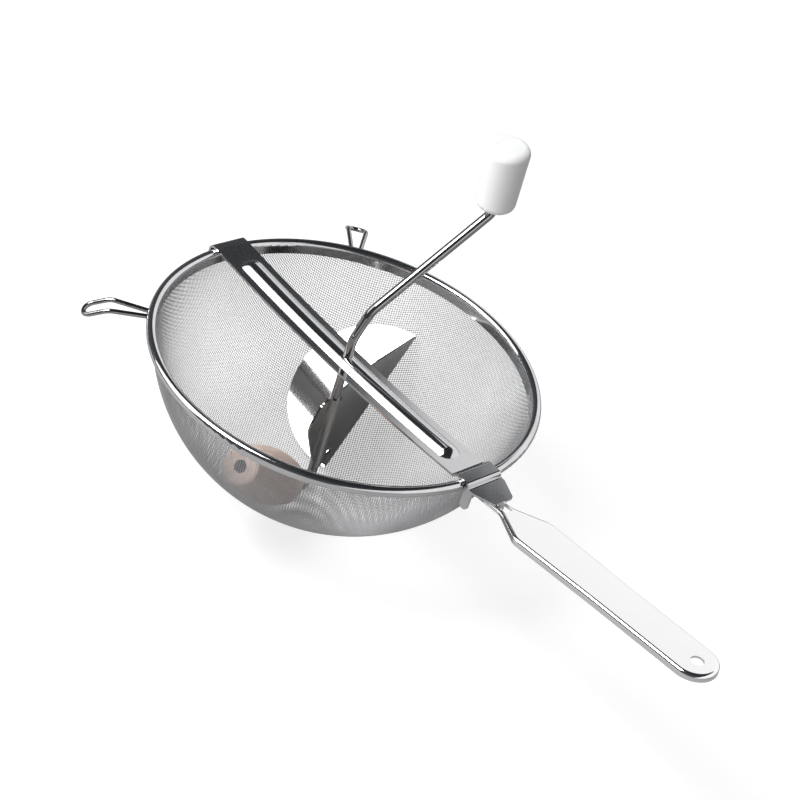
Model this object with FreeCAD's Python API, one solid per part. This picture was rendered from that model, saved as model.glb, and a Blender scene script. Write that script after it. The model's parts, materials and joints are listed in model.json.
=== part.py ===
import FreeCAD, Part
import math
import os

os.makedirs("parts", exist_ok=True)

Vector = FreeCAD.Vector

# Tomato strainer with crank.  Millimetres.  The origin is the centre of the rim, on the crank axis
# and level with the middle of the rim bead.  +Z is up the crank shaft, +X runs out to the handle.

# Fits shared by every piece
PRESSED_GAP = 0.05
SHAFT_CLEARANCE = 0.05
SPIN_CLEARANCE = 0.10
REST_GAP = 0.30

# Rim: a wire ring with a sheet hoop folded round it, which clamps the edge of the cloth
RIM_RADIUS = 100.0
BEAD_RADIUS = 2.6
RIM_SHEET = 0.5
RIM_WIRE_GAP = 0.1
HOOP_DEPTH = 4.8

# Bowl of woven wire cloth
CLOTH_THICKNESS = 0.6
CLOTH_EDGE_BELOW_WIRE = 0.4
BOWL_DEPTH = 85.8
BOWL_STRAIGHT_BELOW_HOOP = 0.5

# Plain grid of openings in rings round the bowl, which stands for the fine mesh of the cloth
MESH_RINGS = 6
MESH_OPEN_SHARE = 0.76
MESH_CUT_MARGIN = 2.0

# Rest loops on the far side of the rim
LOOP_WIRE_RADIUS = 1.25
LOOP_AZIMUTHS = {"rest_loop_left": -132.5, "rest_loop_right": 137.0}
LOOP_ROOT_HALF_WIDTH = 2.3
LOOP_HALF_WIDTH = 5.0
LOOP_LEVEL_LENGTH = 19.0
LOOP_LENGTH = 31.0
LOOP_DROOP = 6.5
LOOP_DROOP_BEND = 10.0
LOOP_ROOT_OVERLAP = 1.6

# Handle: one pressing, a plate with its edges turned down
HANDLE_SHEET = 1.2
HANDLE_DEPTH = 3.6
NECK_DEPTH = 2.2
HANDLE_RISE_DEGREES = 5.2
HANDLE_DROP_AT_RIM = 3.35
HANDLE_LENGTH = 155.5
NECK_HALF_WIDTH = 4.4
NECK_LENGTH = 23.0
SHOULDER_LENGTH = 18.0
GRIP_HALF_WIDTH = 13.0
GRIP_WAIST_HALF_WIDTH = 12.0
GRIP_WAIST_AT = 92.0
SHOULDER_BEND = 10.0
HANDLE_EDGE_ROUND = 1.8
HANG_HOLE_RADIUS = 3.25
HANG_HOLE_FROM_TIP = 10.2
CLAW_SLOT_HALF_WIDTH = 2.2
CLAW_SLOT_PAST_CLAW = 5.0

# Crossbar: one strip with a pressed rib, bowed down in its middle, hooked round the rim at the far end
BAR_SHEET = 1.2
BAR_HALF_WIDTH = 10.5
BAR_LOW_AT = 15.0
BAR_BOW_RADIUS = 1180.0
BAR_BOW_START_FROM_RIM = 5.0
BAR_FAR_BEND_FROM_RIM = 2.174
BAR_BOW_RUN_OUT = 1.5
BAR_HOOK_GAP = 0.3
BAR_STEP_INSET = 4.2
BAR_NEAR_STEP_RUN = 3.0
BAR_BEND = 2.0
RIM_STEP_BEND = 1.1
TONGUE_STEP_RUN = 1.0
HOOK_LIP_OFFSET = 1.8
RIB_WIDTH = 13.0
RIB_HEIGHT = 3.0
RIB_END_FROM_RIM = 14.0
RIB_END_FROM_NEAR_RIM = 16.0
BEARING_DEPTH = 2.6
BEARING_WALL = 1.2

# Near end of the crossbar: ears outside the bead and a tongue whose claw enters the handle
EAR_HALF_SPAN = 11.2
EAR_WIDTH = 5.0
EAR_DEPTH = 10.5
TONGUE_TOP = 1.5
TONGUE_REACH = 19.0
TONGUE_TIP_HALF_WIDTH = 6.2
TONGUE_CORNER = 2.2
CLAW_HALF_WIDTH = 1.7
CLAW_DEPTH = 7.0

# Crank: one rod, bent above the bar to carry the knob and below it to carry the roller
ROD_RADIUS = 2.5
ROD_FOOT_CLEARANCE = 1.0
ROD_LOWER_BEND = 7.0
CRANK_AZIMUTH = 80.0
CRANK_LEAN_START = 12.0
CRANK_LEAN_OUT = 6.0
CRANK_LEAN_TOP = 29.0
CRANK_LEAN_BENDS = (20.0, 15.0)
CRANK_REACH = 62.4
CRANK_HEIGHT = 86.8
CRANK_KNOB_BEND = 7.0
SWAGE_WIDTH = 8.0
SWAGE_THICKNESS = 1.4
SWAGE_HEIGHT = 3.5

# Knob: a hollow moulding that spins on the rod, held by a push nut under a plug
KNOB_TILT_DEGREES = 7.0
KNOB_LENGTH = 36.8
KNOB_FOOT_RADIUS = 10.0
KNOB_TOP_RADIUS = 12.0
KNOB_FOOT_ROUND = 4.0
KNOB_TOP_ROUND = 4.0
KNOB_CHAMBER_RADIUS = 5.4
KNOB_CHAMBER_DEPTH = 10.5
KNOB_CAP_THICKNESS = 4.5
KNOB_BORE_FLARE = 0.8
PUSH_NUT_RADIUS = 4.8
PUSH_NUT_THICKNESS = 0.7
ROD_PAST_PUSH_NUT = 2.0

# Roller: a turned wooden barrel that spins on the lower end of the rod
ROLLER_AZIMUTH = -76.0
ROLLER_RADIUS = 14.5
ROLLER_CLOTH_GAP = 2.6
ROLLER_LENGTH = 59.0
ROLLER_OUTER_RADIUS = 9.4
ROLLER_INNER_RADIUS = 12.4
ROLLER_BELLY_SHARE = 0.4
ROLLER_END_ROUND = 1.6
ROLLER_START = 38.7
STEEPEST_AXLE_DEGREES = 75.0
SLOPE_HALVINGS = 60
SNAP_RING_WIDTH = 0.7
SNAP_RING_THICKNESS = 0.8
SNAP_RING_RECESS = 2.6

# Scraper blade: one pressing, folded round the shaft, with a leaf folded out along its lower edge
BLADE_SHEET = 1.0
BLADE_AZIMUTH = 108.0
BLADE_CLOTH_GAP = 2.0
BLADE_TOP = -23.0
SLEEVE_TOP = -25.0
BLADE_SLEEVE_FOOT = -70.0
WING_TIP_HEIGHT = -29.0
WING_SHOULDER_REACH = 43.0
FOLD_FOOT_REACH = 16.0
FOLD_FOOT_ABOVE_CLOTH = 2.6
EAR_TOP_REACH = 14.0
EAR_TIP_REACH = 22.3
EAR_TIP_HEIGHT = -34.0
EAR_ELBOW_REACH = 18.0
EAR_ELBOW_HEIGHT = -43.0
HUMP_REACH = 7.0
EAR_ROUND = 5.0
BLADE_SLOT_REACH = 12.5
BLADE_SLOT_HEIGHT = -69.0
BLADE_SLOT_LENGTH = 5.0
BLADE_SLOT_WIDTH = 3.0

# Places worked out from the sizes above
BEAD_HOLLOW = BEAD_RADIUS - RIM_SHEET
RIM_WIRE_RADIUS = BEAD_HOLLOW - RIM_WIRE_GAP
HOOP_INSIDE = RIM_RADIUS - BEAD_RADIUS
CLOTH_INSIDE = HOOP_INSIDE + RIM_SHEET + PRESSED_GAP
CLOTH_OUTSIDE = CLOTH_INSIDE + CLOTH_THICKNESS
HOOP_OUTER_LEG = CLOTH_OUTSIDE + PRESSED_GAP
HOOP_OUTSIDE = HOOP_OUTER_LEG + RIM_SHEET
RIM_OUTSIDE = RIM_RADIUS + BEAD_RADIUS
BOWL_EDGE = -HOOP_DEPTH - BOWL_STRAIGHT_BELOW_HOOP
BOWL_CENTRE = (CLOTH_OUTSIDE ** 2 + BOWL_EDGE ** 2 - BOWL_DEPTH ** 2) / (2 * (BOWL_DEPTH + BOWL_EDGE))
BOWL_OUTER_RADIUS = BOWL_CENTRE + BOWL_DEPTH
BOWL_INNER_RADIUS = BOWL_OUTER_RADIUS - CLOTH_THICKNESS
BOWL_FLOOR = BOWL_CENTRE - BOWL_INNER_RADIUS
BOWL_EDGE_DEGREES = math.degrees(math.asin((BOWL_EDGE - BOWL_CENTRE) / BOWL_OUTER_RADIUS))
STRAIGHT_DOWN = -90.0
MESH_RING_DEGREES = (BOWL_EDGE_DEGREES - STRAIGHT_DOWN) / MESH_RINGS
BAR_OVER_RIM = BEAD_RADIUS + REST_GAP + BAR_SHEET / 2
BAR_BOW_MIDDLE_RADIUS = BAR_BOW_RADIUS + BAR_SHEET / 2
BAR_BOW_START = BAR_BOW_START_FROM_RIM - RIM_RADIUS
BAR_BOW_START_TURN = math.asin((BAR_BOW_START - BAR_LOW_AT) / BAR_BOW_MIDDLE_RADIUS)
BAR_BOW_START_DROP = math.tan(BAR_BOW_START_TURN) * (BAR_BOW_START_FROM_RIM - BAR_FAR_BEND_FROM_RIM)
BAR_BOW_CENTRE = BAR_OVER_RIM + BAR_BOW_START_DROP + BAR_BOW_MIDDLE_RADIUS * math.cos(BAR_BOW_START_TURN)
UP = Vector(0, 0, 1)
ORIGIN = Vector(0, 0, 0)
FAR = 400.0


# ---- geometry helpers ----

def line(start, end):
    return Part.LineSegment(start, end).toShape()


def arc(start, middle, end):
    return Part.Arc(start, middle, end).toShape()


def at(azimuth, reach, height):
    """Point at a distance from the crank axis, in the direction of an azimuth."""
    turn = math.radians(azimuth)
    return Vector(reach * math.cos(turn), reach * math.sin(turn), height)


def on_circle(centre, radius, degrees):
    """Point on a circle in the XZ plane."""
    turn = math.radians(degrees)
    return centre + Vector(radius * math.cos(turn), 0, radius * math.sin(turn))


def below_circle(offset, radius):
    """Height of the lower side of a circle at a sideways offset from its centre."""
    return -math.sqrt(radius ** 2 - offset ** 2)


def bowl_reach(height, gap):
    """Distance from the axis to the inner face of the bowl, less a gap, at a height."""
    return math.sqrt((BOWL_INNER_RADIUS - gap) ** 2 - (height - BOWL_CENTRE) ** 2)


def spin(edges):
    """Solid of revolution about Z from a closed outline in the XZ plane."""
    return Part.Face(Part.Wire(edges)).revolve(ORIGIN, UP, 360)


def rounded_path(points, radii):
    """Straight runs joined by tangent arcs of the given radii at the inner points."""
    edges = []
    start = points[0]
    for before, corner, after, radius in zip(points, points[1:], points[2:], radii):
        back = (before - corner).normalize()
        on = (after - corner).normalize()
        half_angle = back.getAngle(on) / 2
        reach = radius / math.tan(half_angle)
        inward = (back + on).normalize()
        centre = corner + inward * (radius / math.sin(half_angle))
        edges.append(line(start, corner + back * reach))
        edges.append(arc(corner + back * reach, centre - inward * radius, corner + on * reach))
        start = corner + on * reach
    edges.append(line(start, points[-1]))
    return edges


def bent_wire(points, radii, wire_radius):
    """Round wire bent along a path of straight runs and arcs."""
    path = Part.Wire(rounded_path(points, radii))
    section = Part.Wire(Part.makeCircle(wire_radius, points[0], points[1] - points[0]))
    return path.makePipeShell([section], True, False)


def offset_points(points, distance):
    """Corners of a path in the XZ plane moved sideways by a distance."""
    normals = []
    for start, end in zip(points, points[1:]):
        along = (end - start).normalize()
        normals.append(Vector(-along.z, 0, along.x))
    moved = [points[0] + normals[0] * distance]
    for corner, first, second in zip(points[1:], normals, normals[1:]):
        moved.append(corner + (first + second) * (distance / (1 + first.dot(second))))
    moved.append(points[-1] + normals[-1] * distance)
    return moved


def turn_side(before, corner, after):
    """+1 where a path in the XZ plane turns to its left, -1 to its right."""
    first = corner - before
    second = after - corner
    return 1 if first.x * second.z - first.z * second.x > 0 else -1


def folded_strip(points, radii, sheet, width):
    """Strip of sheet bent along a path in the XZ plane, centred on that plane."""
    half = sheet / 2
    sides = [turn_side(*corner) for corner in zip(points, points[1:], points[2:])]
    left_radii = [radius - side * half for radius, side in zip(radii, sides)]
    right_radii = [radius + side * half for radius, side in zip(radii, sides)]
    left = offset_points(points, half)
    right = offset_points(points, -half)
    edges = rounded_path(left, left_radii)
    edges.append(line(left[-1], right[-1]))
    edges.extend(rounded_path(right, right_radii))
    edges.append(line(right[0], left[0]))
    outline = Part.Wire(Part.__sortEdges__(edges))
    face = Part.Face(outline)
    face.translate(Vector(0, -width / 2, 0))
    return face.extrude(Vector(0, width, 0))


def flat_plate(edges, thickness):
    """Plate from a closed outline in the XY plane, centred on that plane."""
    face = Part.Face(Part.Wire(edges))
    face.translate(Vector(0, 0, -thickness / 2))
    return face.extrude(Vector(0, 0, thickness))


def placed(shape, placement):
    moved = shape.copy()
    moved.Placement = placement.multiply(moved.Placement)
    return moved


def frame_from_axes(origin, x_axis, y_axis):
    """Placement whose local X and Y run along two square directions."""
    z_axis = x_axis.cross(y_axis)
    matrix = FreeCAD.Matrix(x_axis.x, y_axis.x, z_axis.x, origin.x,
                            x_axis.y, y_axis.y, z_axis.y, origin.y,
                            x_axis.z, y_axis.z, z_axis.z, origin.z,
                            0, 0, 0, 1)
    return FreeCAD.Placement(matrix)


def frame_along(origin, direction):
    """Placement whose local Z runs along a direction."""
    return FreeCAD.Placement(origin, FreeCAD.Rotation(UP, direction))


# ---- rim and bowl ----

def rim_wire():
    return Part.makeTorus(RIM_RADIUS, RIM_WIRE_RADIUS)


def rim_hoop():
    """Strip folded over the rim wire, both legs hanging down beside the cloth."""
    centre = Vector(RIM_RADIUS, 0, 0)
    outside_start = below_circle(HOOP_OUTSIDE - RIM_RADIUS, BEAD_RADIUS)
    inside_start = below_circle(HOOP_OUTER_LEG - RIM_RADIUS, BEAD_HOLLOW)
    foot = -HOOP_DEPTH
    quarter = -45
    corners = {
        "inner_foot": Vector(HOOP_INSIDE, 0, foot),
        "inner_top": Vector(HOOP_INSIDE, 0, 0),
        "outside": Vector(RIM_OUTSIDE, 0, 0),
        "outer_leg_top": Vector(HOOP_OUTSIDE, 0, outside_start),
        "outer_leg_foot": Vector(HOOP_OUTSIDE, 0, foot),
        "outer_leg_back_foot": Vector(HOOP_OUTER_LEG, 0, foot),
        "outer_leg_back_top": Vector(HOOP_OUTER_LEG, 0, inside_start),
        "hollow_outside": Vector(RIM_RADIUS + BEAD_HOLLOW, 0, 0),
        "hollow_inside": Vector(RIM_RADIUS - BEAD_HOLLOW, 0, 0),
        "inner_back_foot": Vector(RIM_RADIUS - BEAD_HOLLOW, 0, foot),
    }
    return spin([
        line(corners["inner_foot"], corners["inner_top"]),
        arc(corners["inner_top"], on_circle(centre, BEAD_RADIUS, 90), corners["outside"]),
        arc(corners["outside"], on_circle(centre, BEAD_RADIUS, quarter), corners["outer_leg_top"]),
        line(corners["outer_leg_top"], corners["outer_leg_foot"]),
        line(corners["outer_leg_foot"], corners["outer_leg_back_foot"]),
        line(corners["outer_leg_back_foot"], corners["outer_leg_back_top"]),
        arc(corners["outer_leg_back_top"], on_circle(centre, BEAD_HOLLOW, quarter),
            corners["hollow_outside"]),
        arc(corners["hollow_outside"], on_circle(centre, BEAD_HOLLOW, 90), corners["hollow_inside"]),
        line(corners["hollow_inside"], corners["inner_back_foot"]),
        line(corners["inner_back_foot"], corners["inner_foot"]),
    ])


def ring_opening(low, high, turn):
    """Block through the cloth between two angles in the XZ plane, swept round Z by a turn."""
    centre = Vector(0, 0, BOWL_CENTRE)
    inner = BOWL_INNER_RADIUS - MESH_CUT_MARGIN
    outer = BOWL_OUTER_RADIUS + MESH_CUT_MARGIN
    middle = (low + high) / 2
    section = Part.Wire([
        arc(on_circle(centre, inner, low), on_circle(centre, inner, middle), on_circle(centre, inner, high)),
        line(on_circle(centre, inner, high), on_circle(centre, outer, high)),
        arc(on_circle(centre, outer, high), on_circle(centre, outer, middle), on_circle(centre, outer, low)),
        line(on_circle(centre, outer, low), on_circle(centre, inner, low)),
    ])
    return Part.Face(section).revolve(ORIGIN, UP, turn)


def mesh_openings():
    """Openings in rings round the bowl, each about as wide as it is high."""
    openings = []
    for index in range(MESH_RINGS):
        middle = STRAIGHT_DOWN + (index + 0.5) * MESH_RING_DEGREES
        reach = MESH_RING_DEGREES * MESH_OPEN_SHARE / 2
        around = round(360 * math.cos(math.radians(middle)) / MESH_RING_DEGREES)
        step = 360 / around
        opening = ring_opening(middle - reach, middle + reach, step * MESH_OPEN_SHARE)
        for place in range(around):
            copy = opening.copy()
            copy.rotate(ORIGIN, UP, place * step)
            openings.append(copy)
    return openings


def mesh_bowl():
    """Spherical cup with openings and a short straight edge between the legs of the hoop."""
    edge_top = below_circle(CLOTH_OUTSIDE - RIM_RADIUS, RIM_WIRE_RADIUS) - CLOTH_EDGE_BELOW_WIRE
    inner_edge = BOWL_CENTRE - math.sqrt(BOWL_INNER_RADIUS ** 2 - CLOTH_INSIDE ** 2)
    centre = Vector(0, 0, BOWL_CENTRE)
    outer_top = Vector(CLOTH_OUTSIDE, 0, BOWL_EDGE)
    inner_top = Vector(CLOTH_INSIDE, 0, inner_edge)
    outer_foot = Vector(0, 0, -BOWL_DEPTH)
    inner_foot = Vector(0, 0, BOWL_FLOOR)
    halfway = (BOWL_EDGE_DEGREES + STRAIGHT_DOWN) / 2
    cup = spin([
        line(Vector(CLOTH_INSIDE, 0, edge_top), Vector(CLOTH_OUTSIDE, 0, edge_top)),
        line(Vector(CLOTH_OUTSIDE, 0, edge_top), outer_top),
        arc(outer_top, on_circle(centre, BOWL_OUTER_RADIUS, halfway), outer_foot),
        line(outer_foot, inner_foot),
        arc(inner_foot, on_circle(centre, BOWL_INNER_RADIUS, halfway), inner_top),
        line(inner_top, Vector(CLOTH_INSIDE, 0, edge_top)),
    ])
    return cup.cut(mesh_openings())


def rest_loop(azimuth):
    """Wire loop that widens outwards and droops to its tip; both ends are welded to the bead."""
    root = RIM_OUTSIDE - LOOP_ROOT_OVERLAP
    elbow = RIM_OUTSIDE + LOOP_LEVEL_LENGTH
    tip = RIM_OUTSIDE + LOOP_LENGTH
    tip_round = LOOP_HALF_WIDTH - LOOP_WIRE_RADIUS / 2
    points = [
        Vector(root, LOOP_ROOT_HALF_WIDTH, 0),
        Vector(elbow, LOOP_HALF_WIDTH, 0),
        Vector(tip, LOOP_HALF_WIDTH, -LOOP_DROOP),
        Vector(tip, -LOOP_HALF_WIDTH, -LOOP_DROOP),
        Vector(elbow, -LOOP_HALF_WIDTH, 0),
        Vector(root, -LOOP_ROOT_HALF_WIDTH, 0),
    ]
    radii = [LOOP_DROOP_BEND, tip_round, tip_round, LOOP_DROOP_BEND]
    loop = bent_wire(points, radii, LOOP_WIRE_RADIUS)
    loop.rotate(ORIGIN, UP, azimuth)
    return loop.cut(Part.makeTorus(RIM_RADIUS, BEAD_RADIUS + PRESSED_GAP))


# ---- handle ----

def handle_placement():
    """Local X runs along the handle from the rim circle, local Z is square to its plate."""
    tilt = FreeCAD.Rotation(Vector(0, 1, 0), -HANDLE_RISE_DEGREES)
    return FreeCAD.Placement(Vector(HOOP_OUTSIDE, 0, -HANDLE_DROP_AT_RIM), tilt)


def handle_outline(inset):
    """Outline of the pressing in plan, or of its inside face when inset by the sheet."""
    root = inset - HANDLE_SHEET
    tip = HANDLE_LENGTH - inset
    neck = NECK_HALF_WIDTH - inset
    grip = GRIP_HALF_WIDTH - inset
    waist = GRIP_WAIST_HALF_WIDTH - inset
    shoulder = NECK_LENGTH + SHOULDER_LENGTH
    side = [
        Vector(root, neck, 0),
        Vector(NECK_LENGTH, neck, 0),
        Vector(shoulder, grip, 0),
        Vector(GRIP_WAIST_AT, waist, 0),
        Vector(tip, waist, 0),
    ]
    mirrored = [Vector(point.x, -point.y, 0) for point in reversed(side)]
    start = Vector(root, 0, 0)
    tip_round = waist - PRESSED_GAP
    neck_round = SHOULDER_BEND + inset
    side_radii = [HANDLE_SHEET, neck_round, SHOULDER_BEND - inset, FAR, tip_round]
    return rounded_path([start] + side + mirrored + [start], side_radii + side_radii[::-1])


def rounded_slab(edges, depth, edge_round):
    """Slab below the XY plane, its top edge rounded."""
    slab = Part.Face(Part.Wire(edges)).extrude(Vector(0, 0, -depth))
    rim = [edge for edge in slab.Edges if edge.BoundBox.ZMin > -edge_round / 2]
    return slab.makeFillet(edge_round, rim)


def claw_back():
    """Outer face of the claw, measured from the crank axis."""
    return RIM_RADIUS + TONGUE_REACH


def neck_relief():
    """Wedge under the neck, where the turned-down edges get shallower towards the rim."""
    grip_start = NECK_LENGTH + SHOULDER_LENGTH
    wedge = Part.makePolygon([
        Vector(-HANDLE_LENGTH, -FAR, -NECK_DEPTH),
        Vector(NECK_LENGTH, -FAR, -NECK_DEPTH),
        Vector(grip_start, -FAR, -HANDLE_DEPTH),
        Vector(grip_start, -FAR, -2 * HANDLE_DEPTH),
        Vector(-HANDLE_LENGTH, -FAR, -2 * HANDLE_DEPTH),
        Vector(-HANDLE_LENGTH, -FAR, -NECK_DEPTH),
    ])
    return Part.Face(wedge).extrude(Vector(0, 2 * FAR, 0))


def handle():
    outside = rounded_slab(handle_outline(0), HANDLE_DEPTH, HANDLE_EDGE_ROUND)
    inside_round = HANDLE_EDGE_ROUND - HANDLE_SHEET
    inside = rounded_slab(handle_outline(HANDLE_SHEET), HANDLE_DEPTH, inside_round)
    inside.translate(Vector(0, 0, -HANDLE_SHEET))
    hole_at = Vector(HANDLE_LENGTH - HANG_HOLE_FROM_TIP, 0, -FAR / 2)
    hole = Part.makeCylinder(HANG_HOLE_RADIUS, FAR, hole_at)
    slot_start = claw_back() - BAR_SHEET - CLAW_SLOT_PAST_CLAW / 2 - HOOP_OUTSIDE
    slot_length = BAR_SHEET + CLAW_SLOT_PAST_CLAW * 3 / 2
    slot_corner = Vector(slot_start, -CLAW_SLOT_HALF_WIDTH, -FAR / 2)
    slot = Part.makeBox(slot_length, 2 * CLAW_SLOT_HALF_WIDTH, FAR, slot_corner)
    pressing = placed(outside.cut(inside).cut([hole, slot, neck_relief()]), handle_placement())
    rim_space = Part.makeCylinder(HOOP_OUTSIDE + PRESSED_GAP, FAR, Vector(0, 0, -FAR / 2))
    return pressing.cut(rim_space)


# ---- crossbar ----

def bar_bow_centre():
    return Vector(BAR_LOW_AT, 0, BAR_BOW_CENTRE)


def on_bow(radius, degrees):
    """Point at a distance from the bow's centre, at an angle from straight down towards the handle."""
    return on_circle(bar_bow_centre(), radius, degrees + STRAIGHT_DOWN)


def bow_degrees(radius, place):
    """Angle at which a circle round the bow's centre reaches a place along X."""
    return math.degrees(math.asin((place - BAR_LOW_AT) / radius))


def bar_top(place):
    """Height of the strip's upper face at a place along X."""
    return on_bow(BAR_BOW_RADIUS, bow_degrees(BAR_BOW_RADIUS, place)).z


def bar_side_path():
    """Middle line of the strip, seen from the side, from the hook's lip to the tip of the tongue."""
    half = BAR_SHEET / 2
    over_rim = BAR_OVER_RIM
    hook_back = -(RIM_OUTSIDE + BAR_HOOK_GAP + half)
    hook_under = -(BEAD_RADIUS + BAR_HOOK_GAP + half)
    tongue = TONGUE_TOP - half
    step = RIM_RADIUS - BAR_STEP_INSET
    tongue_step = RIM_OUTSIDE + BAR_HOOK_GAP + half
    bow = BAR_BOW_MIDDLE_RADIUS
    far = bow_degrees(bow, BAR_BOW_START)
    near = bow_degrees(bow, step - BAR_NEAR_STEP_RUN - BAR_BOW_RUN_OUT)
    near_slope = math.tan(math.radians(near))
    bow_end = on_bow(bow, near)
    points = [
        Vector(-RIM_RADIUS - HOOK_LIP_OFFSET, 0, hook_under),
        Vector(hook_back, 0, hook_under),
        Vector(hook_back, 0, over_rim),
        Vector(BAR_FAR_BEND_FROM_RIM - RIM_RADIUS, 0, over_rim),
        on_bow(bow / math.cos(math.radians((near - far) / 2)), (near + far) / 2),
        bow_end + Vector(BAR_BOW_RUN_OUT, 0, BAR_BOW_RUN_OUT * near_slope),
        Vector(step, 0, over_rim),
        Vector(tongue_step, 0, over_rim),
        Vector(tongue_step + TONGUE_STEP_RUN, 0, tongue),
        Vector(claw_back(), 0, tongue),
    ]
    hook_bend = BAR_SHEET
    radii = [hook_bend, BEAD_RADIUS, BAR_BEND, bow] + [RIM_STEP_BEND] * 4
    return points, radii


def bar_plan():
    """Outline of the bar from above: parallel sides, wider at the ears, then a rounded tongue."""
    back = -2 * RIM_RADIUS
    widening = RIM_RADIUS - 2 * BAR_STEP_INSET
    ear_end = RIM_OUTSIDE + EAR_WIDTH
    side = [
        Vector(back, BAR_HALF_WIDTH, 0),
        Vector(widening, BAR_HALF_WIDTH, 0),
        Vector(RIM_RADIUS - BAR_STEP_INSET, EAR_HALF_SPAN, 0),
        Vector(ear_end, EAR_HALF_SPAN, 0),
        Vector(claw_back(), TONGUE_TIP_HALF_WIDTH, 0),
    ]
    mirrored = [Vector(point.x, -point.y, 0) for point in reversed(side)]
    start = Vector(back, 0, 0)
    radii = [BAR_SHEET] + [BAR_BEND] * 3 + [TONGUE_CORNER]
    face = Part.Face(Part.Wire(rounded_path([start] + side + mirrored + [start], radii + radii[::-1])))
    face.translate(Vector(0, 0, -FAR / 2))
    return face.extrude(Vector(0, 0, FAR))


def rib_form(inset):
    """Long round-ended form of the rib; inset by the sheet it is the hollow under the rib."""
    outer = (RIB_WIDTH ** 2 / 4 + RIB_HEIGHT ** 2) / (2 * RIB_HEIGHT)
    bow = BAR_BOW_RADIUS + outer - RIB_HEIGHT
    far = bow_degrees(bow, RIB_WIDTH / 2 + RIB_END_FROM_RIM - RIM_RADIUS)
    near = bow_degrees(bow, RIM_RADIUS - RIB_END_FROM_NEAR_RIM - RIB_WIDTH / 2)
    radius = outer - inset
    section = Part.Face(Part.Wire(Part.makeCircle(radius, on_bow(bow, 0), Vector(1, 0, 0))))
    section.rotate(bar_bow_centre(), Vector(0, 1, 0), -near)
    run = section.revolve(bar_bow_centre(), Vector(0, 1, 0), near - far)
    ends = [Part.makeSphere(radius, on_bow(bow, angle)) for angle in (far, near)]
    return run.fuse(ends).removeSplitter()


def bar_ear(side):
    """Tab turned down outside the bead, beside the neck of the handle."""
    start = RIM_OUTSIDE
    round_end = EAR_WIDTH / 2
    foot = -EAR_DEPTH + round_end
    top = TONGUE_TOP
    end = start + EAR_WIDTH
    outline = [
        line(Vector(start, 0, top), Vector(start, 0, foot)),
        arc(Vector(start, 0, foot), Vector(start + round_end, 0, -EAR_DEPTH), Vector(end, 0, foot)),
        line(Vector(end, 0, foot), Vector(end, 0, top)),
        line(Vector(end, 0, top), Vector(start, 0, top)),
    ]
    face = Part.Face(Part.Wire(outline))
    inner_face = EAR_HALF_SPAN - BAR_SHEET
    face.translate(Vector(0, side * inner_face, 0))
    return face.extrude(Vector(0, side * BAR_SHEET, 0))


def crossbar():
    points, radii = bar_side_path()
    strip = folded_strip(points, radii, BAR_SHEET, FAR).common(bar_plan())
    side = bar_bow_centre() - Vector(0, FAR / 2, 0)
    above_strip = Part.makeCylinder(BAR_BOW_RADIUS + BAR_SHEET / 2, FAR, side, Vector(0, 1, 0))
    rib = rib_form(0).common(above_strip)
    rib_top = bar_top(0) + RIB_HEIGHT - BAR_SHEET
    bearing_radius = ROD_RADIUS + SHAFT_CLEARANCE + BEARING_WALL
    bearing_height = BEARING_DEPTH + BAR_SHEET / 2
    bearing = Part.makeCylinder(bearing_radius, bearing_height, Vector(0, 0, rib_top - BEARING_DEPTH))
    claw_top = TONGUE_TOP - BAR_SHEET / 2
    claw_corner = Vector(claw_back() - BAR_SHEET, -CLAW_HALF_WIDTH, claw_top - CLAW_DEPTH)
    claw = Part.makeBox(BAR_SHEET, 2 * CLAW_HALF_WIDTH, CLAW_DEPTH, claw_corner)
    bar = strip.fuse(rib).cut(rib_form(BAR_SHEET))
    bar = bar.fuse([bearing, claw, bar_ear(1), bar_ear(-1)])
    bore = Part.makeCylinder(ROD_RADIUS + SHAFT_CLEARANCE, FAR, Vector(0, 0, -FAR / 2))
    return bar.cut(bore).removeSplitter()


# ---- crank ----

def rod_turn_height():
    """Height where the shaft starts to bend towards the roller."""
    return BOWL_FLOOR + ROD_FOOT_CLEARANCE + ROD_RADIUS + ROD_LOWER_BEND


def axle_corner(slope):
    """Height where the line of the roller's axle meets the crank axis."""
    return rod_turn_height() - ROD_LOWER_BEND * math.tan((math.pi / 2 + slope) / 2)


def axle_slope():
    """Slope that keeps the roller's line at a steady depth in the bowl, found by halving."""
    depth = BOWL_INNER_RADIUS - ROLLER_RADIUS - ROLLER_CLOTH_GAP
    low = 0.0
    high = math.radians(STEEPEST_AXLE_DEGREES)
    for _ in range(SLOPE_HALVINGS):
        slope = (low + high) / 2
        if (BOWL_CENTRE - axle_corner(slope)) * math.cos(slope) > depth:
            low = slope
        else:
            high = slope
    return slope


AXLE_SLOPE = axle_slope()
AXLE_CORNER = axle_corner(AXLE_SLOPE)


def on_axle(distance):
    """Point on the roller's axle at a distance from the crank axis along the slope."""
    height = AXLE_CORNER + distance * math.sin(AXLE_SLOPE)
    return at(ROLLER_AZIMUTH, distance * math.cos(AXLE_SLOPE), height)


def on_knob_axis(distance):
    """Point on the knob's axis at a distance above its foot."""
    tilt = math.radians(KNOB_TILT_DEGREES)
    reach = CRANK_REACH - distance * math.sin(tilt)
    return at(CRANK_AZIMUTH, reach, CRANK_HEIGHT + distance * math.cos(tilt))


def direction(place):
    """Unit direction of an axis that is given as a function of distance."""
    return (place(1.0) - place(0.0)).normalize()


def push_nut_seat():
    """Distance of the push nut's lower face above the foot of the knob."""
    return KNOB_LENGTH - KNOB_CHAMBER_DEPTH + SPIN_CLEARANCE


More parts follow.
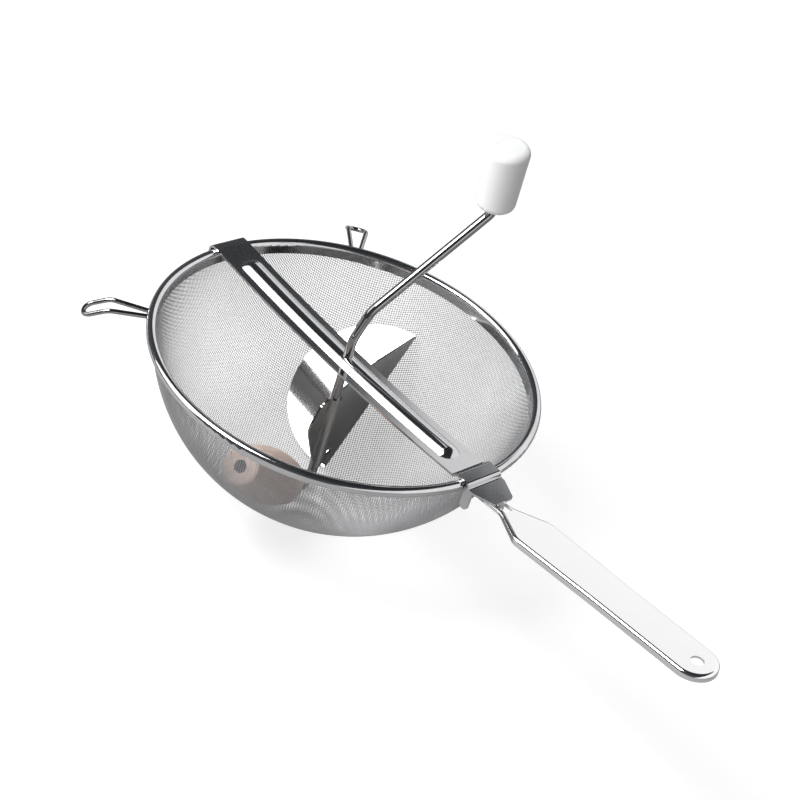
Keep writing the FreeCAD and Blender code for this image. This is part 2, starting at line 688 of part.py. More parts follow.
def swage(place, distance):
    """Flat ears squeezed out of the rod, which stop it or the roller from sliding."""
    ears = Part.makeBox(SWAGE_WIDTH, SWAGE_THICKNESS, SWAGE_HEIGHT,
                        Vector(-SWAGE_WIDTH / 2, -SWAGE_THICKNESS / 2, 0))
    upright = [edge for edge in ears.Edges if edge.BoundBox.ZLength < SWAGE_THICKNESS / 2
               and edge.BoundBox.YLength > SWAGE_THICKNESS / 2]
    ears = ears.makeFillet(SWAGE_THICKNESS / 2, upright)
    return placed(ears, frame_along(place(distance), direction(place)))


def on_shaft(distance):
    return Vector(0, 0, distance)


def crank_rod():
    rod_end = push_nut_seat() + PUSH_NUT_THICKNESS + ROD_PAST_PUSH_NUT
    turn = math.radians(90 + KNOB_TILT_DEGREES)
    lean_top = at(CRANK_AZIMUTH, CRANK_LEAN_OUT, CRANK_LEAN_TOP)
    incline = math.atan2(CRANK_HEIGHT - CRANK_LEAN_TOP, CRANK_REACH - CRANK_LEAN_OUT)
    knob_corner = on_knob_axis(-CRANK_KNOB_BEND * math.tan((turn - incline) / 2) - PRESSED_GAP)
    points = [
        on_axle(ROLLER_START + ROLLER_LENGTH - SPIN_CLEARANCE),
        Vector(0, 0, AXLE_CORNER),
        Vector(0, 0, CRANK_LEAN_START),
        lean_top,
        knob_corner,
        on_knob_axis(rod_end),
    ]
    radii = [ROD_LOWER_BEND] + list(CRANK_LEAN_BENDS) + [CRANK_KNOB_BEND]
    rod = bent_wire(points, radii, ROD_RADIUS)
    bearing_foot = bar_top(0) + RIB_HEIGHT - BAR_SHEET - BEARING_DEPTH
    bar_stop = swage(on_shaft, bearing_foot - REST_GAP - SWAGE_HEIGHT)
    roller_stop = swage(on_axle, ROLLER_START - REST_GAP - SWAGE_HEIGHT)
    return rod.fuse([bar_stop, roller_stop])


def push_nut():
    """Steel push nut pressed on the rod's upper end."""
    nut = Part.makeCylinder(PUSH_NUT_RADIUS, PUSH_NUT_THICKNESS)
    bore = Part.makeCylinder(ROD_RADIUS + PRESSED_GAP, PUSH_NUT_THICKNESS)
    return placed(nut.cut(bore), frame_along(on_knob_axis(push_nut_seat()), direction(on_knob_axis)))


def knob():
    """Tapered grip with a bore for the rod, and a chamber for the push nut in its top."""
    bore = ROD_RADIUS + SPIN_CLEARANCE
    floor = KNOB_LENGTH - KNOB_CHAMBER_DEPTH
    mouth = Vector(bore + KNOB_BORE_FLARE, 0, 0)
    chamber_top = Vector(KNOB_CHAMBER_RADIUS, 0, KNOB_LENGTH)
    chamber_foot = Vector(KNOB_CHAMBER_RADIUS, 0, floor)
    bore_top = Vector(bore, 0, floor)
    bore_foot = Vector(bore, 0, KNOB_BORE_FLARE)
    foot = Vector(KNOB_FOOT_RADIUS, 0, 0)
    top = Vector(KNOB_TOP_RADIUS, 0, KNOB_LENGTH)
    outline = rounded_path([mouth, foot, top, chamber_top], [KNOB_FOOT_ROUND, KNOB_TOP_ROUND])
    outline.append(line(chamber_top, chamber_foot))
    outline.append(line(chamber_foot, bore_top))
    outline.append(line(bore_top, bore_foot))
    outline.append(line(bore_foot, mouth))
    return placed(spin(outline), frame_along(on_knob_axis(0), direction(on_knob_axis)))


def knob_cap():
    """Plug pressed into the top of the knob, flush with it."""
    radius = KNOB_CHAMBER_RADIUS - PRESSED_GAP
    plug = Part.makeCylinder(radius, KNOB_CAP_THICKNESS, Vector(0, 0, KNOB_LENGTH - KNOB_CAP_THICKNESS))
    return placed(plug, frame_along(on_knob_axis(0), direction(on_knob_axis)))


# ---- roller ----

def snap_ring_outside():
    return ROD_RADIUS + PRESSED_GAP + SNAP_RING_WIDTH


def roller():
    """Barrel with a bore and a small recess for the snap ring in its outer end."""
    bore = ROD_RADIUS + SPIN_CLEARANCE
    recess = snap_ring_outside() + SPIN_CLEARANCE
    belly_height = ROLLER_LENGTH * ROLLER_BELLY_SHARE
    belly = arc(Vector(ROLLER_INNER_RADIUS, 0, 0), Vector(ROLLER_RADIUS, 0, belly_height),
                Vector(ROLLER_OUTER_RADIUS, 0, ROLLER_LENGTH))
    barrel = spin([
        line(ORIGIN, Vector(ROLLER_INNER_RADIUS, 0, 0)),
        belly,
        line(Vector(ROLLER_OUTER_RADIUS, 0, ROLLER_LENGTH), Vector(0, 0, ROLLER_LENGTH)),
        line(Vector(0, 0, ROLLER_LENGTH), ORIGIN),
    ])
    rims = [edge for edge in barrel.Edges if edge.BoundBox.ZLength < ROLLER_END_ROUND]
    barrel = barrel.makeFillet(ROLLER_END_ROUND, rims)
    barrel = barrel.cut(Part.makeCylinder(bore, ROLLER_LENGTH))
    pocket = Part.makeCylinder(recess, SNAP_RING_RECESS, Vector(0, 0, ROLLER_LENGTH - SNAP_RING_RECESS))
    return placed(barrel.cut(pocket), frame_along(on_axle(ROLLER_START), direction(on_axle)))


def roller_retainer():
    """Snap ring on the rod, in the recess at the outer end of the roller."""
    ring = Part.makeCylinder(snap_ring_outside(), SNAP_RING_THICKNESS)
    ring = ring.cut(Part.makeCylinder(ROD_RADIUS + PRESSED_GAP, SNAP_RING_THICKNESS))
    seat = ROLLER_START + ROLLER_LENGTH - SNAP_RING_RECESS + SPIN_CLEARANCE
    return placed(ring, frame_along(on_axle(seat), direction(on_axle)))


# ---- scraper blade ----

def blade_plane():
    """Upright plane of the blade: local X runs outwards along its azimuth, local Y is up."""
    outwards = at(BLADE_AZIMUTH, 1.0, 0)
    return frame_from_axes(ORIGIN, outwards, UP)


def fold_ends():
    """Tip and foot of the straight fold between the wing and the leaf, in the blade's plane."""
    tip = Vector(bowl_reach(WING_TIP_HEIGHT, BLADE_CLOTH_GAP), WING_TIP_HEIGHT, 0)
    foot_depth = BOWL_INNER_RADIUS - FOLD_FOOT_ABOVE_CLOTH
    foot = Vector(FOLD_FOOT_REACH, BOWL_CENTRE - math.sqrt(foot_depth ** 2 - FOLD_FOOT_REACH ** 2), 0)
    return tip, foot


def wing_plate():
    tip, foot = fold_ends()
    shoulder = Vector(WING_SHOULDER_REACH, BLADE_TOP, 0)
    hump = Vector(HUMP_REACH, BLADE_TOP, 0)
    sleeve_top = Vector(ROD_RADIUS, SLEEVE_TOP, 0)
    sleeve_foot = Vector(ROD_RADIUS, BLADE_SLEEVE_FOOT, 0)
    outline = [
        line(sleeve_foot, foot),
        line(foot, tip),
        line(tip, shoulder),
        line(shoulder, hump),
        line(hump, sleeve_top),
        line(sleeve_top, sleeve_foot),
    ]
    slot = Part.makeBox(BLADE_SLOT_LENGTH, BLADE_SLOT_WIDTH, FAR,
                        Vector(BLADE_SLOT_REACH - BLADE_SLOT_LENGTH / 2,
                               BLADE_SLOT_HEIGHT - BLADE_SLOT_WIDTH / 2, -FAR / 2))
    return flat_plate(outline, BLADE_SHEET).cut(slot)


def ear_plate():
    """Short ear on the other side of the shaft, with a hump beside it."""
    points = [
        Vector(-ROD_RADIUS, BLADE_SLEEVE_FOOT, 0),
        Vector(-ROD_RADIUS, SLEEVE_TOP, 0),
        Vector(-HUMP_REACH, BLADE_TOP, 0),
        Vector(-EAR_TOP_REACH, BLADE_TOP, 0),
        Vector(-EAR_TIP_REACH, EAR_TIP_HEIGHT, 0),
        Vector(-EAR_ELBOW_REACH, EAR_ELBOW_HEIGHT, 0),
        Vector(-ROD_RADIUS, BLADE_SLEEVE_FOOT, 0),
    ]
    radii = [BLADE_SHEET / 4, EAR_ROUND / 4, EAR_ROUND / 2, EAR_ROUND, EAR_ROUND]
    return flat_plate(rounded_path(points, radii), BLADE_SHEET)


def sleeve():
    """Groove pressed in the sheet round the shaft, bulging to one side only."""
    height = SLEEVE_TOP - BLADE_SLEEVE_FOOT
    outside = ROD_RADIUS + PRESSED_GAP + BLADE_SHEET
    groove = Part.makeCylinder(outside, height, Vector(0, BLADE_SLEEVE_FOOT, 0), Vector(0, 1, 0))
    bulge = Part.makeBox(FAR, FAR, FAR, Vector(-FAR / 2, -FAR / 2, -BLADE_SHEET / 2))
    return groove.common(bulge)


def leaf_plate():
    """Half disc that follows the bowl, square to the wing, along the fold."""
    tip, foot = fold_ends()
    along = (tip - foot).normalize()
    centre = Vector(0, BOWL_CENTRE, 0)
    middle = foot + along * (centre - foot).dot(along)
    depth = (centre - middle).Length
    radius = math.sqrt((BOWL_INNER_RADIUS - BLADE_CLOTH_GAP) ** 2 - depth ** 2)
    disc = Part.makeCylinder(radius, BLADE_SHEET, Vector(0, 0, -BLADE_SHEET / 2))
    half_disc = disc.common(Part.makeBox(FAR, FAR, FAR, Vector(-FAR / 2, 0, -FAR / 2)))
    return placed(half_disc, frame_from_axes(middle, along, Vector(0, 0, -1)))


def scraper_blade():
    blade = wing_plate().fuse([ear_plate(), sleeve(), leaf_plate()])
    bore = Part.makeCylinder(ROD_RADIUS + PRESSED_GAP, FAR, Vector(0, -FAR / 2, 0), Vector(0, 1, 0))
    return placed(blade.cut(bore).removeSplitter(), blade_plane())


# ---- all pieces ----

PIECES = {
    "rim_wire": rim_wire,
    "rim_hoop": rim_hoop,
    "mesh_bowl": mesh_bowl,
    "handle": handle,
    "crossbar": crossbar,
    "crank_rod": crank_rod,
    "scraper_blade": scraper_blade,
    "roller": roller,
    "roller_retainer": roller_retainer,
    "knob": knob,
    "knob_retainer": push_nut,
    "knob_cap": knob_cap,
}

solids = {name: make() for name, make in PIECES.items()}
for name, azimuth in LOOP_AZIMUTHS.items():
    solids[name] = rest_loop(azimuth)

for name, solid in solids.items():
    solid.exportStep("parts/" + name + ".step")
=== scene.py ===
"""Looks of the hand-cranked tomato strainer: woven cloth, polished steel, plastic and beech.

The CAD pieces keep their shapes and get materials. The bowl's plain grid gives way to cloth that
is woven wire by wire on the same surface. All lengths are in metres.
"""

import json
import math

import bpy
import numpy as np
from mathutils import Matrix, Vector


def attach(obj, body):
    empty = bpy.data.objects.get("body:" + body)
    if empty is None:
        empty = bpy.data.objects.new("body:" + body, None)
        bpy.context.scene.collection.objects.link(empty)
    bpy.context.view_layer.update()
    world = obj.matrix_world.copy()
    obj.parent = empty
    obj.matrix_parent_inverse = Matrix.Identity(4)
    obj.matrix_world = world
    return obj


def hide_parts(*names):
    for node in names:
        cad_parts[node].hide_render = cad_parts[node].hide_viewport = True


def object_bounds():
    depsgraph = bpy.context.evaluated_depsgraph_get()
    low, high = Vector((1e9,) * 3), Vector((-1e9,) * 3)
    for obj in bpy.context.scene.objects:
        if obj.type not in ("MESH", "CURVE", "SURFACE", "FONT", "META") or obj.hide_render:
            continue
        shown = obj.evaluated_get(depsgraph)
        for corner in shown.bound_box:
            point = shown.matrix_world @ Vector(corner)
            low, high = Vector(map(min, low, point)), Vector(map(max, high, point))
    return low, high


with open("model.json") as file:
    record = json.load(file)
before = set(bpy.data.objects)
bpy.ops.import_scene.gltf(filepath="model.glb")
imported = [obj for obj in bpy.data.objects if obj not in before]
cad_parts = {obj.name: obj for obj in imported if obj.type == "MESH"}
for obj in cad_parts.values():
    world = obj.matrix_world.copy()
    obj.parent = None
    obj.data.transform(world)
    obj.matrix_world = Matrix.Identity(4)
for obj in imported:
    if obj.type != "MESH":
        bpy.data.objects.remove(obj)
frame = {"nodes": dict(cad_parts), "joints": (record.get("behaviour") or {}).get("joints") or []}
CAD_BOUNDS = [list(corner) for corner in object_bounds()]
NODES = frame["nodes"]
JOINTS = {joint["name"]: joint for joint in frame["joints"]}

MM = 0.001
WHITE = (1.0, 1.0, 1.0, 1.0)

# Cloth: its wires lie on the middle surface of the bowl's skin, a sphere with a straight edge.
CLOTH_THICKNESS = 0.6 * MM
CLOTH_PITCH = 1.28 * MM
CLOTH_TURN = math.radians(40)
CLOTH_EDGE = -3.5 * MM
STRAIGHT_FROM = -5.3 * MM
WIRE_RADIUS = CLOTH_THICKNESS / 4
WIRE_SIDES = 4
FEWEST_CROSSINGS = 3

# Surfaces: noise scales are per metre, and tones change between two places of the noise.
TONE_PLACES = (0.3, 0.7)

STEEL_CLOUDS = 45.0
STEEL_GRAIN, STEEL_GRAIN_DETAIL = 900.0, 4.0
STEEL_BUMP, STEEL_BUMP_DEPTH = 0.15, 0.0015 * MM
GLOSSIEST, DULLEST = 0.7, 1.3
ALONG_STRIP = (0.08, 1, 1)

PLASTIC_CLOUDS = 60.0
PLASTIC_TONES = ((0.86, 0.86, 0.86), (0.89, 0.89, 0.89))
PLASTIC_ROUGH = (0.32, 0.42)
PLASTIC_SPECKS, PLASTIC_SPECK_DETAIL = 2500.0, 2.0
PLASTIC_BUMP, PLASTIC_BUMP_DEPTH = 0.2, 0.05 * MM
PLASTIC_GLOW, PLASTIC_GLOW_REACH = 0.15, 2 * MM

BEECH_GRAIN, BEECH_GRAIN_DETAIL = 350.0, 6.0
BEECH_GRAIN_STRETCH = (1, 1, 0.08)
BEECH_TONES = ((0.62, 0.47, 0.40), (0.78, 0.64, 0.57))
BEECH_TONE_PLACES = (0.35, 0.65)
BEECH_ROUGH = (0.45, 0.65)
BEECH_FLECKS, BEECH_FLECK_DETAIL = 1500.0, 2.0
BEECH_FLECK_STRETCH = (1, 1, 0.15)
BEECH_BUMP, BEECH_BUMP_DEPTH = 0.4, 0.1 * MM

# Camera: the photograph's place, fitted to the rim's circle.
CAMERA_PLACE = Vector((0.5284, -0.6373, 0.5812))
CAMERA_RIGHT = Vector((0.6394, 0.7240, 0.2587))
CAMERA_UP = Vector((-0.5895, 0.2457, 0.7695))
CAMERA_LENS = 90.0
CAMERA_SENSOR = 36.0

# Floor: it glows for the camera, white from the fade on, and only faintly for mirror rays.
FLOOR_GAP = 0.3 * MM
FLOOR_SIZE = 8.0
FLOOR_CLOUDS = 3.0
FLOOR_TONES = ((0.38, 0.38, 0.38), (0.3914, 0.3914, 0.3914))
FLOOR_GLOW = 0.74
FLOOR_FADE = (0.25, 1.2)
FLOOR_SHEEN = 0.06

# Room: a direction is past an edge where its product with the edge's vector exceeds the limit.
BACKDROP_TOP, BACKDROP_TOP_LIMIT = (0, -0.9, 1), -0.015
BACKDROP_SIDE, BACKDROP_SIDE_LIMIT = (-0.386, -0.178, -0.194), 0.0
WALL_TOP, WALL_TOP_LIMIT = (-0.7, -0.7, 0.6), -0.1
EDGE_BLUR = 0.012
ROOM_TONES = ((0.085, 0.090, 0.097), (0.028, 0.030, 0.033))
ROOM_TONE_HEIGHTS = (0.3, 0.9)


# ---------------------------------------------------------------- shader nodes


def link(tree, source, target):
    tree.links.new(source, target)


def add_node(tree, kind, **settings):
    node = tree.nodes.new(kind)
    for key, value in settings.items():
        setattr(node, key, value)
    return node


def math_node(tree, operation, *inputs):
    """A sum, product or other operation on sockets and plain numbers."""
    node = add_node(tree, "ShaderNodeMath", operation=operation)
    for socket, value in zip(node.inputs, inputs):
        if isinstance(value, (int, float)):
            socket.default_value = value
        else:
            link(tree, value, socket)
    return node.outputs["Value"]


def map_range(tree, source, before, after, **settings):
    """The source taken from the range before to the range after."""
    node = add_node(tree, "ShaderNodeMapRange", **settings)
    node.inputs["From Min"].default_value, node.inputs["From Max"].default_value = before
    node.inputs["To Min"].default_value, node.inputs["To Max"].default_value = after
    link(tree, source, node.inputs["Value"])
    return node.outputs["Result"]


def ramp(tree, source, places, colours):
    """The first colour up to the first place, the second from the second place on."""
    node = add_node(tree, "ShaderNodeValToRGB")
    for element, place, colour in zip(node.color_ramp.elements, places, colours):
        element.position = place
        element.color = (*colour, 1.0)
    link(tree, source, node.inputs["Fac"])
    return node.outputs["Color"]


def mix_colours(tree, factor, first, second):
    """The first colour at factor 0 and the second at 1, each a socket or a plain colour."""
    node = add_node(tree, "ShaderNodeMix", data_type="RGBA")
    link(tree, factor, node.inputs["Factor"])
    sockets = [socket for socket in node.inputs if socket.type == "RGBA"]
    for socket, colour in zip(sockets, (first, second)):
        if isinstance(colour, tuple):
            socket.default_value = colour
        else:
            link(tree, colour, socket)
    return next(socket for socket in node.outputs if socket.type == "RGBA")


def object_noise(tree, scale, detail=3.0, stretch=(1, 1, 1), turn=(0, 0, 0)):
    """Noise in the object's own coordinates, so that it moves with the piece."""
    place = add_node(tree, "ShaderNodeTexCoord")
    turned = add_node(tree, "ShaderNodeMapping")
    turned.inputs["Rotation"].default_value = turn
    stretched = add_node(tree, "ShaderNodeMapping")
    stretched.inputs["Scale"].default_value = stretch
    noise = add_node(tree, "ShaderNodeTexNoise")
    noise.inputs["Scale"].default_value = scale
    noise.inputs["Detail"].default_value = detail
    link(tree, place.outputs["Object"], turned.inputs["Vector"])
    link(tree, turned.outputs["Vector"], stretched.inputs["Vector"])
    link(tree, stretched.outputs["Vector"], noise.inputs["Vector"])
    return noise.outputs["Fac"]


def bump(tree, source, strength, depth):
    node = add_node(tree, "ShaderNodeBump")
    node.inputs["Strength"].default_value = strength
    node.inputs["Distance"].default_value = depth
    link(tree, source, node.inputs["Height"])
    return node.outputs["Normal"]


# ---------------------------------------------------------------- materials


def blank_material(name):
    material = bpy.data.materials.new(name)
    material.use_nodes = True
    tree = material.node_tree
    tree.nodes.clear()
    output = add_node(tree, "ShaderNodeOutputMaterial")
    shader = add_node(tree, "ShaderNodeBsdfPrincipled")
    link(tree, shader.outputs["BSDF"], output.inputs["Surface"])
    return material, tree, shader


def steel(name, dark, light, rough, stretch=(1, 1, 1), metal=1.0):
    """Polished sheet or wire: cloudy tone, fine grain and uneven gloss."""
    material, tree, shader = blank_material(name)
    cloud = object_noise(tree, STEEL_CLOUDS)
    grain = object_noise(tree, STEEL_GRAIN, STEEL_GRAIN_DETAIL, stretch)
    gloss = map_range(tree, cloud, (0, 1), (rough * GLOSSIEST, rough * DULLEST))
    link(tree, ramp(tree, cloud, TONE_PLACES, (dark, light)), shader.inputs["Base Color"])
    link(tree, gloss, shader.inputs["Roughness"])
    link(tree, bump(tree, grain, STEEL_BUMP, STEEL_BUMP_DEPTH), shader.inputs["Normal"])
    shader.inputs["Metallic"].default_value = metal
    return material


def white_plastic():
    """Moulded plastic: faint clouds, a fine speckle and a little light from inside."""
    material, tree, shader = blank_material("white_plastic")
    cloud = object_noise(tree, PLASTIC_CLOUDS)
    speck = object_noise(tree, PLASTIC_SPECKS, PLASTIC_SPECK_DETAIL)
    link(tree, ramp(tree, cloud, TONE_PLACES, PLASTIC_TONES), shader.inputs["Base Color"])
    link(tree, map_range(tree, cloud, (0, 1), PLASTIC_ROUGH), shader.inputs["Roughness"])
    link(tree, bump(tree, speck, PLASTIC_BUMP, PLASTIC_BUMP_DEPTH), shader.inputs["Normal"])
    shader.inputs["Subsurface Weight"].default_value = PLASTIC_GLOW
    shader.inputs["Subsurface Radius"].default_value = (PLASTIC_GLOW_REACH,) * 3
    shader.inputs["Subsurface Scale"].default_value = 1.0
    return material


def beech(along):
    """Turned beech with its grain along the given direction."""
    material, tree, shader = blank_material("beech")
    turn = Vector(along).rotation_difference(Vector((0, 0, 1))).to_euler()
    grain = object_noise(tree, BEECH_GRAIN, BEECH_GRAIN_DETAIL, BEECH_GRAIN_STRETCH, turn)
    fleck = object_noise(tree, BEECH_FLECKS, BEECH_FLECK_DETAIL, BEECH_FLECK_STRETCH, turn)
    link(tree, ramp(tree, grain, BEECH_TONE_PLACES, BEECH_TONES), shader.inputs["Base Color"])
    link(tree, map_range(tree, grain, (0, 1), BEECH_ROUGH), shader.inputs["Roughness"])
    link(tree, bump(tree, fleck, BEECH_BUMP, BEECH_BUMP_DEPTH), shader.inputs["Normal"])
    return material


def dress(material, *nodes):
    for node in nodes:
        slots = NODES[node].data.materials
        slots.clear()
        slots.append(material)


# ---------------------------------------------------------------- the cloth


def bowl_size():
    """Radius of the cloth's straight edge and height of its lowest point, from the CAD's skin."""
    bowl = NODES["mesh_bowl"]
    points = [bowl.matrix_world @ vertex.co for vertex in bowl.data.vertices]
    outside = max(point.xy.length for point in points)
    lowest = min(point.z for point in points)
    return outside - CLOTH_THICKNESS / 2, lowest + CLOTH_THICKNESS / 2


def quarter_net(cells, step, radius, highest):
    """Crossings of a woven net on a sphere, from its lowest point, in one quadrant.

    Each cell is a rhombus: a crossing mirrors the one before it in the plane
    through its two neighbours and the sphere's centre.
    """
    net = np.full((cells + 1, cells + 1, 3), np.nan)
    for i in range(cells + 1):
        angle = 2 * i * math.asin(step / (2 * radius))
        net[i, 0] = (math.sin(angle), 0, -math.cos(angle))
        net[0, i] = (0, math.sin(angle), -math.cos(angle))
    net *= radius
    for total in range(2, 2 * cells + 1):
        i = np.arange(max(1, total - cells), min(cells, total - 1) + 1)
        j = total - i
        before, one, other = net[i - 1, j - 1], net[i - 1, j], net[i, j - 1]
        normal = np.cross(one, other)
        normal /= np.linalg.norm(normal, axis=1, keepdims=True)
        net[i, j] = before - 2 * (before * normal).sum(1, keepdims=True) * normal
        too_high = net[i, j, 2] > highest
        net[i[too_high], j[too_high]] = np.nan
    return net


def whole_net():
    """The net over the whole bowl, in the row frame, and its outward normals."""
    edge_radius, floor = bowl_size()
    centre = (edge_radius ** 2 + STRAIGHT_FROM ** 2 - floor ** 2) / (2 * (STRAIGHT_FROM - floor))
    radius = centre - floor
    highest = CLOTH_EDGE - centre
    cells = int(math.pi / 2 * radius / CLOTH_PITCH)
    quarter = quarter_net(cells, CLOTH_PITCH, radius, highest)
    net = np.full((2 * cells + 1, 2 * cells + 1, 3), np.nan)
    for along_x in (1, -1):
        for along_y in (1, -1):
            quadrant = net[cells::along_x, cells::along_y]
            quadrant[:] = quarter * (along_x, along_y, 1)
    net[net[..., 2] > highest] = np.nan
    net = net @ np.array(Matrix.Rotation(CLOTH_TURN, 3, "Z")).T
    normals = net / radius
    net[..., 2] += centre
    reach = np.hypot(net[..., 0], net[..., 1])
    inwards = np.where(reach > edge_radius, edge_radius / reach, 1.0)
    net[..., :2] *= inwards[..., None]
    return net, normals


def wire_runs(net, normals, first):
    """Each wire's points and normals, the points lifted over and under its crossings."""
    runs = []
    for i, row in enumerate(net):
        inside = np.flatnonzero(~np.isnan(row[:, 0]))
        if len(inside) < FEWEST_CROSSINGS:
            continue
        j = np.arange(inside[0], inside[-1] + 1)
        if np.isnan(row[j, 0]).any():
            continue
        lift = np.where((i + j + first) % 2 == 0, WIRE_RADIUS, -WIRE_RADIUS)
        runs.append((row[j] + normals[i, j] * lift[:, None], normals[i, j]))
    return runs


def unit_rows(vectors):
    return vectors / np.linalg.norm(vectors, axis=1, keepdims=True)


def wires_mesh(name, runs):
    """One mesh of thin tubes, one tube along each run."""
    around = np.arange(WIRE_SIDES)
    turns = 2 * math.pi * around / WIRE_SIDES
    cosines, sines = np.cos(turns)[None, :, None], np.sin(turns)[None, :, None]
    points, faces, count = [], [], 0
    for path, normal in runs:
        ahead = unit_rows(np.gradient(path, axis=0))
        side = unit_rows(np.cross(ahead, normal))
        above = np.cross(side, ahead)
        outwards = cosines * side[:, None] + sines * above[:, None]
        points.append((path[:, None] + WIRE_RADIUS * outwards).reshape(-1, 3))
        start = count + WIRE_SIDES * np.arange(len(path) - 1)[:, None]
        here, beside = start + around, start + (around + 1) % WIRE_SIDES
        quads = np.stack([here, here + WIRE_SIDES, beside + WIRE_SIDES, beside], axis=-1)
        faces.append(quads.reshape(-1, 4))
        count += len(path) * WIRE_SIDES
    points, faces = np.concatenate(points), np.concatenate(faces)
    starts = np.arange(0, faces.size, faces.shape[1], dtype=np.int32)
    mesh = bpy.data.meshes.new(name)
    mesh.vertices.add(len(points))
    mesh.vertices.foreach_set("co", points.astype(np.float32).ravel())
    mesh.loops.add(faces.size)
    mesh.loops.foreach_set("vertex_index", faces.astype(np.int32).ravel())
    mesh.polygons.add(len(faces))
    mesh.polygons.foreach_set("loop_start", starts)
    mesh.polygons.foreach_set("use_smooth", np.ones(len(faces), dtype=bool))
    mesh.update(calc_edges=True)
    mesh.validate()
    return mesh


def weave_cloth(material):
    net, normals = whole_net()
    runs = wire_runs(net, normals, 0)
    runs += wire_runs(net.transpose(1, 0, 2), normals.transpose(1, 0, 2), 1)
    cloth = bpy.data.objects.new("woven_cloth", wires_mesh("woven_cloth", runs))
    bpy.context.scene.collection.objects.link(cloth)
    cloth.data.materials.append(material)
    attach(cloth, "strainer")
    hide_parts("mesh_bowl")


# ---------------------------------------------------------------- the studio


def make_camera():
    data = bpy.data.cameras.new("camera")
    data.lens = CAMERA_LENS
    data.sensor_width = CAMERA_SENSOR
    camera = bpy.data.objects.new("camera", data)
    bpy.context.scene.collection.objects.link(camera)
    right = CAMERA_RIGHT.normalized()
    back = right.cross(CAMERA_UP).normalized()
    up = back.cross(right)
    turn = Matrix((right, up, back)).transposed()
    camera.matrix_world = Matrix.Translation(CAMERA_PLACE) @ turn.to_4x4()
    bpy.context.scene.camera = camera


def floor_material():
    """Matt pale paper that glows white for the camera and keeps the object's shadow."""
    material, tree, shader = blank_material("floor_paper")
    cloud = object_noise(tree, FLOOR_CLOUDS)
    link(tree, ramp(tree, cloud, TONE_PLACES, FLOOR_TONES), shader.inputs["Base Color"])
    shader.inputs["Roughness"].default_value = 1.0
    shader.inputs["Specular IOR Level"].default_value = 0.0
    place = add_node(tree, "ShaderNodeTexCoord")
    reach = add_node(tree, "ShaderNodeVectorMath", operation="LENGTH")
    link(tree, place.outputs["Object"], reach.inputs[0])
    glow = map_range(tree, reach.outputs["Value"], FLOOR_FADE, (FLOOR_GLOW, 1.0),
                     interpolation_type="SMOOTHSTEP")
    rays = add_node(tree, "ShaderNodeLightPath").outputs
    mirrored = math_node(tree, "MAXIMUM", rays["Is Glossy Ray"], rays["Is Transmission Ray"])
    seen = math_node(tree, "MULTIPLY", rays["Is Camera Ray"], glow)
    sheen = math_node(tree, "MULTIPLY", mirrored, FLOOR_SHEEN)
    shader.inputs["Emission Color"].default_value = WHITE
    link(tree, math_node(tree, "MAXIMUM", seen, sheen), shader.inputs["Emission Strength"])
    return material


def make_floor():
    low = CAD_BOUNDS[0][2] - FLOOR_GAP
    half = FLOOR_SIZE / 2
    mesh = bpy.data.meshes.new("floor")
    corners = [(-half, -half, low), (half, -half, low), (half, half, low), (-half, half, low)]
    mesh.from_pydata(corners, [], [(0, 1, 2, 3)])
    mesh.materials.append(floor_material())
    floor = bpy.data.objects.new("floor", mesh)
    bpy.context.scene.collection.objects.link(floor)


def past_edge(tree, direction, across, limit):
    """0 on the white side of an edge and 1 on the room's side, with a soft change between."""
    product = add_node(tree, "ShaderNodeVectorMath", operation="DOT_PRODUCT")
    link(tree, direction, product.inputs[0])
    product.inputs[1].default_value = across
    return map_range(tree, product.outputs["Value"], (limit - EDGE_BLUR, limit + EDGE_BLUR), (0, 1),
                     interpolation_type="SMOOTHSTEP")


def make_world():
    """A dim room with a white backdrop towards +Y, and plain white for the camera.

    Mirror rays also meet a white wall towards +X and +Y, so that the steel isn't
    black from behind. Other rays don't, which keeps the light of the photograph.
    """
    world = bpy.data.worlds.new("studio")
    bpy.context.scene.world = world
    world.use_nodes = True
    tree = world.node_tree
    tree.nodes.clear()
    output = add_node(tree, "ShaderNodeOutputWorld")
    background = add_node(tree, "ShaderNodeBackground")
    link(tree, background.outputs["Background"], output.inputs["Surface"])
    direction = add_node(tree, "ShaderNodeTexCoord").outputs["Generated"]
    height = add_node(tree, "ShaderNodeSeparateXYZ")
    link(tree, direction, height.inputs["Vector"])
    rays = add_node(tree, "ShaderNodeLightPath").outputs
    off_backdrop = math_node(tree, "MAXIMUM",
                             past_edge(tree, direction, BACKDROP_TOP, BACKDROP_TOP_LIMIT),
                             past_edge(tree, direction, BACKDROP_SIDE, BACKDROP_SIDE_LIMIT))
    unmirrored = math_node(tree, "SUBTRACT", 1, rays["Is Glossy Ray"])
    off_wall = math_node(tree, "MAXIMUM", unmirrored,
                         past_edge(tree, direction, WALL_TOP, WALL_TOP_LIMIT))
    in_room = math_node(tree, "MINIMUM", off_backdrop, off_wall)
    room = ramp(tree, height.outputs["Z"], ROOM_TONE_HEIGHTS, ROOM_TONES)
    light = mix_colours(tree, in_room, WHITE, room)
    seen = mix_colours(tree, rays["Is Camera Ray"], light, WHITE)
    link(tree, seen, background.inputs["Color"])


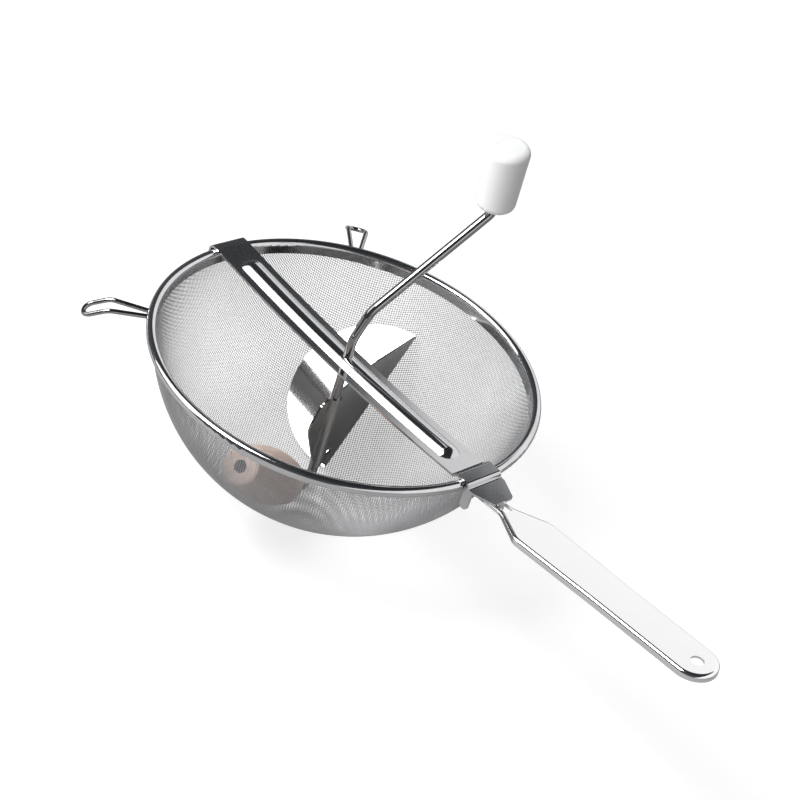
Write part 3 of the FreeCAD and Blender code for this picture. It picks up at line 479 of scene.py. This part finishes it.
def softbox(name, azimuth, elevation, distance, width, height, power, mirrored=True):
    """A soft lamp that faces the origin, from angles in degrees and a power in watts."""
    data = bpy.data.lights.new(name, "AREA")
    data.shape = "RECTANGLE"
    data.size = width
    data.size_y = height
    data.energy = power
    lamp = bpy.data.objects.new(name, data)
    lamp.visible_glossy = mirrored
    bpy.context.scene.collection.objects.link(lamp)
    azimuth, elevation = math.radians(azimuth), math.radians(elevation)
    away = Vector((math.cos(elevation) * math.cos(azimuth),
                   math.cos(elevation) * math.sin(azimuth), math.sin(elevation)))
    lamp.matrix_world = (Matrix.Translation(away * distance)
                         @ away.to_track_quat("Z", "Y").to_matrix().to_4x4())


# ---------------------------------------------------------------- the scene


# The handle's steel is lifted to near white: painted light, standing in for the bright reflections
# on its top.
handle_steel_painted_light = steel("handle_steel_painted_light", (0.93, 0.93, 0.93), (0.97, 0.97, 0.97), 0.09, ALONG_STRIP)
bar_steel = steel("bar_steel", (0.60, 0.60, 0.61), (0.70, 0.70, 0.71), 0.10, ALONG_STRIP)
# The blade's steel is darkened below the other sheet steel: painted shade, standing in for the
# shade on its wing.
blade_steel_painted_shade = steel("blade_steel_painted_shade", (0.44, 0.43, 0.42), (0.52, 0.51, 0.50), 0.07)
# The rod's and loops' steel is darkened below the other steel: painted shade, making them darker
# than their light gives.
wire_steel_painted_shade = steel("wire_steel_painted_shade", (0.34, 0.34, 0.34), (0.46, 0.46, 0.46), 0.08)
rim_steel = steel("rim_steel", (0.64, 0.64, 0.65), (0.76, 0.76, 0.77), 0.10)
# The cloth's wire steel is darkened and half matt: painted shade, standing in for the shade within
# the weave.
cloth_steel_painted_shade = steel("cloth_steel_painted_shade", (0.40, 0.40, 0.41), (0.50, 0.50, 0.51), 0.35, metal=0.40)
hidden_steel = steel("hidden_steel", (0.5, 0.5, 0.5), (0.62, 0.62, 0.62), 0.25)

dress(handle_steel_painted_light, "handle")
dress(bar_steel, "crossbar")
dress(blade_steel_painted_shade, "scraper_blade")
dress(wire_steel_painted_shade, "crank_rod", "rest_loop_left", "rest_loop_right")
dress(rim_steel, "rim_hoop")
dress(hidden_steel, "rim_wire", "roller_retainer", "knob_retainer")
dress(white_plastic(), "knob", "knob_cap")
dress(beech(JOINTS["roller_spin"]["axis"]), "roller")
weave_cloth(cloth_steel_painted_shade)

bpy.context.scene.view_settings.view_transform = "Standard"
make_camera()
make_floor()
make_world()
softbox("key", azimuth=222, elevation=42, distance=1.3, width=0.95, height=1.6, power=9.0)
softbox("side", azimuth=242, elevation=55, distance=1.3, width=0.6, height=0.6, power=14.0)
softbox("fill", azimuth=278, elevation=10, distance=1.6, width=1.6, height=0.5, power=13.0,
        mirrored=False)
